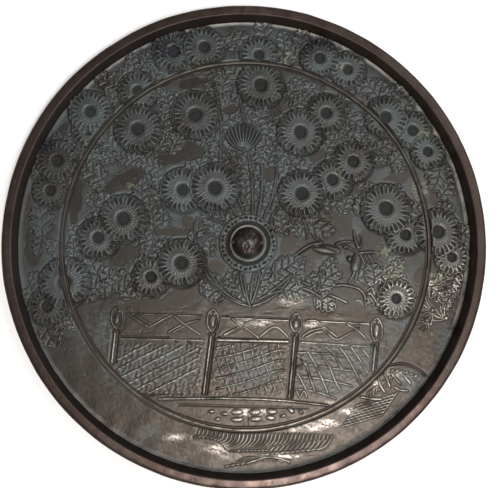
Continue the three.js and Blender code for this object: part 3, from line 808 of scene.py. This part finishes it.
def fence(x, y, h):
    """Rails, cross braces and the woven panels of the fence, then its four posts on top."""
    for path, width, height in (
        ([(-61, -35.2), (-23, -36.6)], 1.1, 0.32), ([(-14, -37.4), (20.5, -39)], 1.1, 0.35),
        ([(29, -39), (62, -40.8)], 1.1, 0.35), ([(-63.5, -47.6), (-23, -48.6)], 1.2, 0.2),
        ([(-15, -48.4), (20, -49.4)], 2.0, 0.9), ([(27, -49.8), (62, -52.2)], 1.1, 0.25),
    ):
        ridge(x, y, h, path, width, height, 0.1)
        incision(x, y, h, [(px, py + width * 0.5 + 0.5) for px, py in path], 1.0, 0.3)
    braces = (
        [(-60, -35.5), (-49.5, -42)], [(-56, -36), (-48, -41)], [(-49, -42), (-42, -38), (-38, -36)],
        [(-39.5, -44.5), (-33, -41), (-24, -38.4)], [(-37.5, -44.6), (-31.5, -41.6)],
        [(-37, -36.6), (-31, -41), (-24, -45.6)], [(-12, -46), (-1, -40.3), (3, -39)],
        [(-2, -42), (5.5, -47.5)], [(6.2, -46.8), (13.6, -42), (20, -47)], [(-8, -38), (-4, -41)],
        [(27.5, -46.8), (32, -44), (38, -42.8)], [(29, -47.4), (34, -45), (38, -44.6)],
        [(29.5, -39.2), (34.5, -39.2), (38, -43), (44, -48.4), (50, -46.2), (56, -42.8)],
        [(38, -42), (45, -47.2)], [(50.3, -41), (55.5, -44), (60.5, -49)],
    )
    for brace in braces:
        ridge(x, y, h, smooth_path(brace), 1.05, 0.5, 0.22)
    left_panel = (-64.5, -25)
    for i in range(9):
        top = -73.5 + 6.2 * i
        incision(x, y, h, clipped((top, -49), (top + 27, -76), *left_panel), 1.0, 0.3)
    for i in range(11):
        low = -79 + 4.9 * i
        path = clipped((-66, low - 4), (-24, low + 17), *left_panel)
        ridge(x, y, h, below(path, -49.5), 1.3, 0.2, 0.15)
    for i in range(6):
        low = -77.5 + 5.0 * i
        path = [(-15.5, low), (-4, low + 2.6), (4, low + 5), (13, low + 8.2), (18.5, low + 9)]
        ridge(x, y, h, below(smooth_path(path, 4), -51), 0.95, 0.45, 0.25)
    for i in range(8):
        left = -17 + 4.6 * i
        path = [(left, -51), (left + 2.2, -60), (left + 5.6, -68), (left + 8.5, -75)]
        ridge(x, y, h, clipped_path(smooth_path(path, 4), -16, 18.5), 0.9, 0.18, 0.2)
    for path in (
        [(25, -55), (30, -55), (36, -55.4), (42.5, -55.6), (48, -56.6)],
        [(24.6, -62), (29, -61), (34, -61.4), (40, -62.4), (47, -63.5), (55, -64.6), (59, -66)],
        [(24, -67), (33, -67.5), (38, -68.4), (44, -69.6), (52, -71.6)],
        [(22.5, -73), (29, -73.5), (36, -75), (44, -78)],
        [(30, -54.6), (34, -61.2), (37, -67.6), (40, -75)],
        [(37.4, -56.8), (41, -62.2), (44, -69.5), (46.4, -73.6)],
        [(39, -52), (43.6, -56.2), (47.2, -63.4)],
        [(46.5, -52.6), (50.4, -58), (54, -64.6), (56.6, -70)],
        [(52, -52.2), (56, -58), (58.6, -62.5), (60.5, -65)], [(57.6, -53), (61, -57.4)],
        [(24.5, -56), (29, -61), (31, -67), (33.5, -73.8)],
        [(24.4, -74), (26, -77.2), (28, -74), (29.6, -77.4)], [(24.5, -65), (27, -69), (29, -73.4)],
    ):
        ridge(x, y, h, smooth_path(path), 0.95, 0.45, 0.22)
    incision(x, y, h, [(-52, -75.2), (-10, -75.8), (8, -76.4), (40, -79.2)], 0.9, 0.4)
    ridge(x, y, h, [(-44, -77.2), (-14, -77.2), (6, -77.8), (20, -78.8), (40, -81.2)], 1.2, 0.6, 0.2)
    incision(x, y, h, [(-34, -80), (-8, -81.2), (30, -82.4)], 1.1, 0.2)
    wattle = (x > -66) & (x < 62) & (y > -76) & (y < -50) & (np.hypot(x, y) < ring_radius - 3)
    h[wattle] += 0.05 * undulation(x[wattle], y[wattle], 2.4, 44)
    for head, half, foot in POSTS:
        post(x, y, h, head, half, foot)


NOWHERE = [(0, -200), (0.1, -200)]  # stands off the mirror, for a line of which nothing is left


def clipped(start, end, left, right):
    """The part of a straight line between two upright lines at left and right."""
    (ax, ay), (bx, by) = start, end
    share = [max((left - ax) / (bx - ax), 0), min((right - ax) / (bx - ax), 1)]
    if share[1] <= share[0]:
        return NOWHERE
    return [(ax + (bx - ax) * t, ay + (by - ay) * t) for t in share]


def clipped_path(path, left, right):
    """The points of a path that lie between left and right."""
    kept = [p for p in path if left <= p[0] <= right]
    return kept if len(kept) > 1 else NOWHERE


def below(path, limit):
    """The points of a path, refined, that lie under a height."""
    kept = []
    for (ax, ay), (bx, by) in zip(path[:-1], path[1:]):
        for t in np.linspace(0, 1, 6):
            point = (ax + (bx - ax) * t, ay + (by - ay) * t)
            if point[1] <= limit and point not in kept[-1:]:
                kept.append(point)
    return kept if len(kept) > 1 else NOWHERE


def birds(x, y, h):
    """Two small birds over the twigs: bodies, heads, and narrow wings with a cut edge."""
    boss(x, y, h, 40, -3.2, 7.5, 2.5, -8, 1.3)
    boss(x, y, h, 49.8, -1.7, 1.5, 1.2, 0, 1.5)
    ridge(x, y, h, smooth_path([(37, 0), (31, -1.2), (24.2, -5.8)]), 2.6, 1.0, 0.4, 0.5)
    incision(x, y, h, [(33, -1), (25.2, -5.6)], 0.7, 0.5)
    incision(x, y, h, smooth_path([(36, -0.6), (42, -3), (45, -4.6)]), 0.7, 0.6)
    ridge(x, y, h, smooth_path([(45, -0.5), (50, 1), (57, 0.2)]), 1.8, 0.8, 0.3, 0.5)
    ridge(x, y, h, [(48.5, -0.6), (56.5, -5)], 1.0, 0.9, 0.4)
    boss(x, y, h, 55, -10, 6, 2.4, 80, 1.4)
    boss(x, y, h, 51.6, -7.9, 1.5, 1.2, 110, 1.5)
    ridge(x, y, h, smooth_path([(57, -5), (62, -4.4), (68.5, -4.6)]), 2.0, 0.9, 0.4, 0.4)
    for k in range(4):
        ridge(x, y, h, [(57.5 + 2 * k, -6), (59.5 + 2.1 * k, -10.5 + 0.8 * k)], 1.2, 0.6, 0.25, 0.6)
    ridge(x, y, h, smooth_path([(56.5, -2), (54.6, 2), (54, 6.4)]), 2.4, 0.9, 0.4, 0.4)
    ridge(x, y, h, smooth_path([(57.4, -2), (58, 2), (57, 4.5)]), 1.4, 0.7, 0.3, 0.5)
    ridge(x, y, h, [(54, -15), (51.2, -20)], 1.5, 0.8, 0.3, 0.6)
    ridge(x, y, h, [(55.5, -15), (54.4, -19.5)], 1.1, 0.7, 0.3, 0.6)


def twigs(x, y, h):
    """Low twigs between the plant and the fence, with small buds."""
    for path in (
        [(28, -22.8), (31.5, -24), (36.5, -27)],
        [(44.4, -21.6), (48, -21.1), (52, -21.8), (56, -23), (58.6, -25.6), (59.6, -28.6)],
        [(5.5, -28.2), (10, -26), (14.5, -24.4), (17, -24)], [(10, -25.4), (16, -21), (21.5, -16.4)],
        [(27.6, -19.8), (31.6, -21.2)], [(41, -26), (47, -28.5), (50, -30)],
        [(62, -25), (64, -28), (66, -31)],
    ):
        ridge(x, y, h, smooth_path(path), 1.2, 1.05, 0.35)
    for cx, cy in (
        (17, -13.8), (20.4, -13.4), (38.4, -16.8), (44, -16.5), (43.4, -21), (61.5, -25.5), (66, -31),
    ):
        boss(x, y, h, cx, cy, 1.2, 1.0, 0, 1.2)


def stream(x, y, h):
    """The stream in the border: rows of strokes that start flat and turn up to the right, the
    bank at its head, and pebbles under the fence."""
    for i in range(34):
        top_x = -24 + 2.0 * i
        swell = blend_step(top_x, -14, 4) * (1 - 0.5 * blend_step(top_x, 20, 44))
        top_y = -92.6 - 2.4 * blend_step(top_x, -22, -6) - 1.0 * blend_step(top_x, 20, 42)
        run, drop = 2.6 + 8.4 * swell, 3.6 + 4.6 * swell
        path = [
            (top_x - run, top_y - drop), (top_x - run * 0.45, top_y - drop * 0.82),
            (top_x - run * 0.12, top_y - drop * 0.45), (top_x, top_y),
        ]
        ridge(x, y, h, smooth_path(path, 5), 1.05, 0.5, 0.28)
    for i in range(12):
        left = 12 + 2.6 * i
        path = [
            (left - 6, -105.4 + 0.22 * i), (left - 2, -104.3 + 0.25 * i), (left + 0.6, -101.4 + 0.3 * i),
        ]
        ridge(x, y, h, smooth_path(path, 4), 0.95, 0.45, 0.25)
    for k in range(5):
        path = [
            (-11 + 2.6 * k, -110.6 + 0.35 * k), (-6 + 2.8 * k, -109 + 0.4 * k),
            (-2 + 3 * k, -106.6 + 0.1 * k), (3 + 3.2 * k, -106.2 - 0.2 * k), (7 + 3.4 * k, -107.6 - 0.3 * k),
        ]
        ridge(x, y, h, smooth_path(path, 4), 1.0, 0.45, 0.25)
    for row in range(7):
        for i in range(9):
            cx = 48.5 + 2.3 * i + 1.2 * row
            cy = -91 + 1.7 * row + 0.62 * i
            if 95.5 < math.hypot(cx, cy) < 109:
                ridge(x, y, h, bow((cx - 1.3, cy - 0.7), (cx + 1.3, cy + 0.7), -0.4), 0.9, 0.42, 0.15)
    for k in range(9):
        foot = (60 + 1.5 * k, -78.5 + 1.1 * k)
        tip = (62.5 + 1.75 * k, -73.6 + 1.25 * k)
        ridge(x, y, h, bow(foot, tip, 0.8), 1.1, 0.5, 0.25)
    for path in (
        [(69, -66), (70.5, -69), (71.6, -72.4)], [(72.5, -65.6), (75, -68.6), (77, -71)],
        [(76.5, -65), (79.5, -67.5), (82, -70.6)], [(66, -69.5), (67, -72), (69, -75)],
        [(74, -72.5), (77, -74), (80.5, -74.4)], [(57, -77.2), (62, -78.2), (67, -78.4)],
    ):
        ridge(x, y, h, smooth_path(path), 1.3, 0.5, 0.2)
    incision(x, y, h, smooth_path([(71.5, -61.4), (79, -60.9), (86, -63.6), (91, -67.4)]), 1.0, 0.6)
    for k in range(6):
        boss(x, y, h, 73 + 2.4 * k, -64.1 - 0.12 * k * k, 1.1, 0.8, 20, 0.6)
    for cx, cy, long, short, bearing in (
        (-5.5, -84, 3, 1.4, 0), (3.5, -84.1, 3, 1.5, 0), (12, -84, 2.8, 1.3, -6),
        (21.6, -83.6, 1.9, 1, -35), (-11.4, -84.8, 2, 0.8, 0), (-5.5, -87.7, 3.2, 1.1, 0),
        (4, -87.5, 3.2, 1.3, 0), (11.3, -87, 2.4, 1.1, -8), (-15, -87.4, 1.3, 0.8, 0),
        (17.8, -86, 1.4, 0.7, 20), (26.5, -84.4, 1.4, 0.8, -30), (-18, -83.6, 1.6, 0.8, 0),
    ):
        boss(x, y, h, cx, cy, long, short, bearing, 0.7)


def sprays(x, y, h):
    """Small sprays of grass in the right-hand border and at its foot."""
    for cx, cy, bearing, count, size in (
        (94, -34, 200, 7, 8), (101, -38, 150, 5, 7), (91, -39, 240, 5, 6),
    ):
        for k in range(count):
            turn = math.radians(bearing + (k - count / 2) * 24)
            tip = (cx + size * math.cos(turn), cy + size * math.sin(turn))
            ridge(x, y, h, bow((cx, cy), tip, 0.8), 0.9, 0.7, 0.25, 0.6)
        boss(x, y, h, cx, cy, 1.2, 1.2, 0, 1.0)


def relief_height(x, y):
    """Height of the relief over its ground, in millimetres, at flat arrays of places, with where
    the blossoms' hearts and the bare ground are. The ground sways a little; near the ring line
    and the knob everything dips into their grooves."""
    h = 0.06 * undulation(x, y, 13, 41) + 0.012 * undulation(x, y, 3.2, 42)
    shade = np.zeros(x.shape)
    bare = np.zeros(x.shape)
    plant(x, y, h, shade, bare)
    h += 0.07 * undulation(x, y, 1.5, 45) * blend_step(h, 0.1, 0.3) * (1 - blend_step(h, 0.75, 0.95))
    twigs(x, y, h)
    birds(x, y, h)
    stream(x, y, h)
    sprays(x, y, h)
    r = np.hypot(x, y)
    fenced = h.copy()
    fence(x, y, fenced)
    h = np.where(r < ring_radius - 1.5, fenced, h)
    h += 0.02 * undulation(x, y, 1.8, 43) * blend_step(h, 0.1, 0.4)
    ring_gap = blend_step(np.abs(r - ring_radius), 1.3, 1.75)
    h = h * ring_gap - 0.42 * (1 - ring_gap)
    seat_gap = blend_step(r, seat_radius - 0.3, seat_radius + 0.5)
    h = h * seat_gap - 0.1 * (1 - seat_gap)
    fillet = 0.7 * blend_step(r, wall_foot - 2.2, wall_foot + 0.4) ** 2
    return h + fillet, shade * ring_gap, bare


def soften(field, width):
    """A field blurred by three running means along each axis, each an odd number of cells that
    comes nearest under the width."""
    cells = 2 * int(width / 2) + 1
    for axis in (0, 1):
        for _ in range(3):
            pad = [(0, 0), (0, 0)]
            pad[axis] = (cells // 2 + 1, cells // 2)
            total = np.cumsum(np.pad(field, pad, mode="edge"), axis)
            high = np.take(total, range(cells, total.shape[axis]), axis)
            low = np.take(total, range(0, total.shape[axis] - cells), axis)
            field = (high - low) / cells
    return field


# Ovals of the finish, each (x, y, half width, half height): blue-black stains, worn spots with a
# painted highlight, film over the fence, and blooms of pale salts.
STAINS = [(37, 103, 9, 5), (-44, 100, 12, 6), (-36, 108, 6, 4), (-103, 52, 6, 9)]
WORN_AND_LIT = [
    (-14, -102, 6, 2), (-7, -105.5, 6, 1.6), (22, -93, 3, 1), (31, -92, 6, 2), (40, -90, 5, 1.8),
    (16, -106, 10, 0.9), (2, -40, 9, 2), (33, -41, 5, 1.6), (22, -29, 6, 2.4), (76, -66, 6, 2.4),
    (64, -70, 4, 1.6), (45, -80, 6, 1.4), (0, -84, 9, 1.5), (-35, -96, 6, 1.6), (52, -84.5, 5, 1.5),
]
FILMED = [
    (42, -63, 20, 13), (60, -58, 8, 12), (76, -44, 7, 13), (-74, -42, 9, 12), (-60, -62, 14, 13),
    (-36, -60, 12, 11), (0, -62, 16, 9), (82, -68, 6, 6), (-50, -93, 7, 3), (100, -52, 4, 12),
]
BLOOMS = [
    (80, 72, 4, 2.2), (-47, 104, 1.6, 1.0), (58, 94, 3, 1.6), (92, 57, 4, 3), (75, -13, 5, 6),
    (70, -4, 4, 3), (20, 96, 4, 3), (48, 92, 2.5, 2), (88, 28, 5, 5), (-60, 29, 4, 1.2),
    (46, 36, 2, 2), (96, -18, 4, 3),
]


def spots(x, y, places):
    """The highest of several soft ovals, exp(-d^3) of the distance in half-axes, made ragged."""
    total = np.zeros(x.shape)
    for cx, cy, wide, tall in places:
        total = np.maximum(total, np.exp(-(np.hypot((x - cx) / wide, (y - cy) / tall) ** 3)))
    ragged = 0.8 + 0.55 * undulation(x, y, 3, 61) + 0.6 * undulation(x, y, 1.3, 62)
    return np.clip(total * ragged, 0, 1)


def shade_marks(x, y, h, shade, bare, spacing):
    """The marks that the finish reads. Dirt_and_shade: dark dirt and painted shade where the metal
    lies under its surroundings, more in the upper part, and painted shade along the far left of
    the border. Wear_and_sheen: worn metal and a painted sheen where it stands over them, weaker
    towards the head and the upper left, with worn spots that carry a painted highlight and a
    painted highlight on the fillet at the wall's foot, strongest on the right. Film: everywhere in
    the planting but on the bare ground, in patches on the fence, and on that fillet. Soot and
    salts lie where the lists say."""
    wide, close = soften(h, 1.5 / spacing), soften(h, 0.8 / spacing)
    r = np.hypot(x, y)
    upper = blend_step(y - 0.2 * x, -45, -15)
    left = blend_step(y - 0.5 * x, -85, 35)
    # Painted shade along the far left of the border.
    far_left = blend_step(-x, 78, 100) * blend_step(r, 90, 96)
    # Dark dirt and painted shade in the hollows, weaker in the lower part.
    dirt_and_shade = np.clip((wide - h - 0.03) / 0.34, 0, 1) * (0.3 + 0.7 * upper)
    dirt_and_shade = np.maximum(np.maximum(dirt_and_shade, shade), 0.35 * far_left)
    wear_and_sheen = np.clip((h - close) / (0.1 + 0.1 * upper), 0, 1) * np.clip(h / 0.35, 0, 1)
    # Painted sheen: the crests are lighter towards the foot and darker towards the upper left.
    wear_and_sheen = wear_and_sheen * (1 - 0.62 * upper - 0.25 * upper * left)
    # Worn spots that carry a painted highlight.
    wear_and_sheen = np.maximum(wear_and_sheen, 0.75 * spots(x, y, WORN_AND_LIT))
    planted = blend_step(y + 0.04 * x, -34, -27) * (r < ring_radius) + (r >= ring_radius) * upper
    film = (0.45 + 0.4 * left) * (1 - 0.75 * bare) * planted + 0.25 * (1 - planted) * left + 0.05
    film = np.maximum(film, 0.85 * spots(x, y, FILMED))
    # The fillet at the wall's foot: grey-green film and a painted highlight, strongest on the right.
    at_wall = blend_step(r, wall_foot - 1.9, wall_foot - 0.9)
    return {
        "dirt_and_shade": dirt_and_shade,
        "wear_and_sheen": np.maximum(wear_and_sheen, 0.6 * at_wall * on_side(x, y, -11.46)),
        "film": np.maximum(film, 0.8 * at_wall),
        "soot": np.clip(1.6 * spots(x, y, STAINS), 0, 1),
        "salts": 0.85 * spots(x, y, BLOOMS),
    }


def relief_on(x, y, spacing):
    """The relief on a grid of places about spacing apart: its height, and the marks."""
    h, shade, bare = (field.reshape(x.shape) for field in relief_height(x.ravel(), y.ravel()))
    return h, shade_marks(x, y, h, shade, bare, spacing)


def unit_normals(slope_x, slope_y):
    """The unit normals of a surface whose height has these slopes along X and Y."""
    normals = np.stack([-slope_x, -slope_y, np.ones_like(slope_x)], -1)
    return normals / np.linalg.norm(normals, axis=-1, keepdims=True)


# Paints: metal, film, dirt and painted shade, worn metal and painted sheen.
relief_bronze = bronze("relief_bronze", ("352e28", "485253", "0c0b0b", "a39d95"), 0.9, 0.3, 0.25)
tile_floor = ground_height - 0.9
ring_half_width = 1.2  # the tiles on both sides of the ring line end this far from its middle
garden_edge = ring_radius - ring_half_width
garden_spacing = 0.3
garden_cells = 2 * int(math.ceil(garden_edge / garden_spacing))
steps = (np.arange(garden_cells + 1) - garden_cells / 2) * garden_spacing
grid_y, grid_x = np.meshgrid(steps, steps, indexing="ij")
grid_reach = np.maximum(np.hypot(grid_x, grid_y), 1e-6)
pull = np.minimum(1, garden_edge / grid_reach)
garden_x, garden_y = grid_x * pull, grid_y * pull
inside = grid_reach <= garden_edge
used_cells = inside[:-1, :-1] | inside[1:, :-1] | inside[:-1, 1:] | inside[1:, 1:]
garden_h, garden_marks = relief_on(garden_x, garden_y, garden_spacing)
garden_normals = unit_normals(*np.gradient(garden_h, garden_spacing)[::-1])


def garden_tile(name, rows, columns):
    """One quarter of the garden: its cells of the grid on top, with a wall down from the border
    of the quarter and one flat face under it. The cells' corners outside the garden have been
    drawn in to its edge."""
    side = garden_cells + 1
    r, c = np.nonzero(used_cells[rows, columns])
    corner = (r + rows.start) * side + c + columns.start
    quads = np.stack([corner, corner + 1, corner + side + 1, corner + side], -1)
    kept, local = np.unique(quads, return_inverse=True)
    quads = local.reshape(-1, 4)
    x, y = garden_x.ravel()[kept], garden_y.ravel()[kept]
    edges = np.vstack([quads[:, [k, (k + 1) % 4]] for k in range(4)])
    count = len(kept)
    code, back = edges[:, 0] * count + edges[:, 1], edges[:, 1] * count + edges[:, 0]
    rim = edges[~np.isin(code, back)][:, 0]
    rim = rim[np.argsort(bearing_of(x[rim] - x.mean(), y[rim] - y.mean()))]
    under = count + np.arange(len(rim))
    walls = np.stack([rim, under, np.roll(under, -1), np.roll(rim, -1)], -1)
    top = np.stack([x, y, ground_height + garden_h.ravel()[kept]], -1)
    low = np.stack([x[rim], y[rim], np.full(len(rim), tile_floor)], -1)
    faces = quads.tolist() + walls.tolist() + [under[::-1].tolist()]
    blank = np.zeros(len(rim))
    marks = {mark: np.append(v.ravel()[kept], blank) for mark, v in garden_marks.items()}
    normals = np.vstack([garden_normals.reshape(-1, 3)[kept], np.tile([0, 0, -1.0], (len(rim), 1))])
    cast_piece(name, np.vstack([top, low]), faces, marks, relief_bronze, normals)


half_cells = garden_cells // 2
lower, upper = slice(0, half_cells), slice(half_cells, garden_cells)
garden_tile("garden_fence_left", lower, lower)
garden_tile("garden_fence_right", lower, upper)
garden_tile("garden_blossoms_left", upper, lower)
garden_tile("garden_blossoms_right", upper, upper)

# ---- The border ----------------------------------------------------------------------------
# The band between the ring line and the rim: blossoms above, the stream below, cast with the
# rest and kept as two curved tiles.

border_rows, border_columns = 61, 1980
border_r = np.linspace(ring_radius + ring_half_width, wall_foot + 0.35, border_rows + 1)
border_turn = np.arange(border_columns + 1) * 2 * np.pi / border_columns
polar_turn, polar_r = np.meshgrid(border_turn, border_r)
cosine, sine = np.cos(polar_turn), np.sin(polar_turn)
border_x, border_y = polar_r * cosine, polar_r * sine
border_h, border_marks = relief_on(border_x, border_y, border_r[1] - border_r[0])
fall_r, fall_turn = np.gradient(border_h, border_r, border_turn)
fall_turn = fall_turn / polar_r
border_normals = unit_normals(fall_r * cosine - fall_turn * sine, fall_r * sine + fall_turn * cosine)


def border_tile(name, first, last):
    """A run of the border between two columns of its polar grid: the rows on top, a wall down at
    each side, a flat strip under it, and a flat face at each end."""
    column = np.arange(first, last + 1) % border_columns
    wide = len(column)
    x, y, h = border_x[:, column], border_y[:, column], border_h[:, column]
    top = np.stack([x, y, ground_height + h], -1)
    low = np.stack([x[[-1, 0]], y[[-1, 0]], np.full((2, wide), tile_floor)], -1)
    points = np.concatenate([top, low])
    rows = len(points)
    i = np.arange(rows)[:, None]
    j = np.arange(wide - 1)[None, :]
    after = (i + 1) % rows
    quads = np.stack([i * wide + j, after * wide + j, after * wide + j + 1, i * wide + j + 1], -1)
    ends = [(np.arange(rows) * wide)[::-1].tolist(), (np.arange(rows) * wide + wide - 1).tolist()]
    blank = np.zeros((2, wide))
    marks = {mark: np.concatenate([v[:, column], blank]) for mark, v in border_marks.items()}
    normals = np.concatenate([border_normals[:, column], np.tile([0, 0, -1.0], (2, wide, 1))])
    normals = normals.reshape(-1, 3)
    faces = quads.reshape(-1, 4).tolist() + ends
    cast_piece(name, points.reshape(-1, 3), faces, marks, relief_bronze, normals)


right_seam, left_seam = (int(bearing / 360 * border_columns) for bearing in (-27, 208))
border_tile("border_blossoms", right_seam, left_seam)
border_tile("border_stream", left_seam, right_seam + border_columns)

# ---- Floor, lights and camera --------------------------------------------------------------
# A plain pale table top, a soft key light over the foot of the mirror, a wide soft fill, and the
# camera that looks down on the mirror's back.

floor_mesh = bpy.data.meshes.new("table_top")
half_table = 3
corners = [(x * half_table, y * half_table, 0) for x, y in ((-1, -1), (1, -1), (1, 1), (-1, 1))]
floor_mesh.from_pydata(corners, [], [(0, 1, 2, 3)])
table_top = bpy.data.objects.new("table_top", floor_mesh)
bpy.context.scene.collection.objects.link(table_top)
table_paint = bpy.data.materials.new("table_paint")
table_paint.use_nodes = True
table_shader = table_paint.node_tree.nodes["Principled BSDF"]
table_shader.inputs["Base Color"].default_value = (0.95, 0.95, 0.95, 1)
table_shader.inputs["Roughness"].default_value = 0.9
table_shader.inputs["Specular IOR Level"].default_value = 0.1
floor_mesh.materials.append(table_paint)


def soft_light(name, place, size, power, colour):
    """A square area light at a place, turned to the middle of the mirror."""
    lamp = bpy.data.lights.new(name, "AREA")
    lamp.shape = "SQUARE"
    lamp.size = size
    lamp.energy = power
    lamp.color = colour
    light = bpy.data.objects.new(name, lamp)
    light.location = place
    light.rotation_euler = (-Vector(place)).to_track_quat("-Z", "Y").to_euler()
    bpy.context.scene.collection.objects.link(light)


soft_light("key", (0.19, -0.40, 1.15), size=0.3, power=13, colour=(1.0, 0.95, 0.92))
soft_light("fill", (0.85, 0.45, 1.1), size=0.9, power=8, colour=(0.96, 0.99, 1.0))

sky = bpy.data.worlds.new("studio")
sky.use_nodes = True
sky_light = sky.node_tree.nodes["Background"]
sky_light.inputs["Color"].default_value = (1, 1, 1, 1)
sky_light.inputs["Strength"].default_value = 0.3
bpy.context.scene.world = sky
bpy.context.scene.view_settings.view_transform = "Standard"

camera_data = bpy.data.cameras.new("camera")
camera_data.sensor_width = 36
camera_data.lens = 44.28
camera_data.clip_start = 0.01
camera = bpy.data.objects.new("camera", camera_data)
tilt, bearing, distance = 0.0764, 4.0032, 0.30966  # from upright and round it in radians
aim = Vector((0.00103, -0.00048, 0.004))
lean = math.sin(tilt)
backward = Vector((lean * math.cos(bearing), lean * math.sin(bearing), math.cos(tilt)))
camera.location = aim + distance * backward
forward = (aim - camera.location).normalized()
right = forward.cross(Vector((0, 1, 0))).normalized()
up = right.cross(forward)
camera.rotation_mode = "QUATERNION"
camera.rotation_quaternion = Matrix((right, up, -forward)).transposed().to_quaternion()
bpy.context.scene.collection.objects.link(camera)
bpy.context.scene.camera = camera
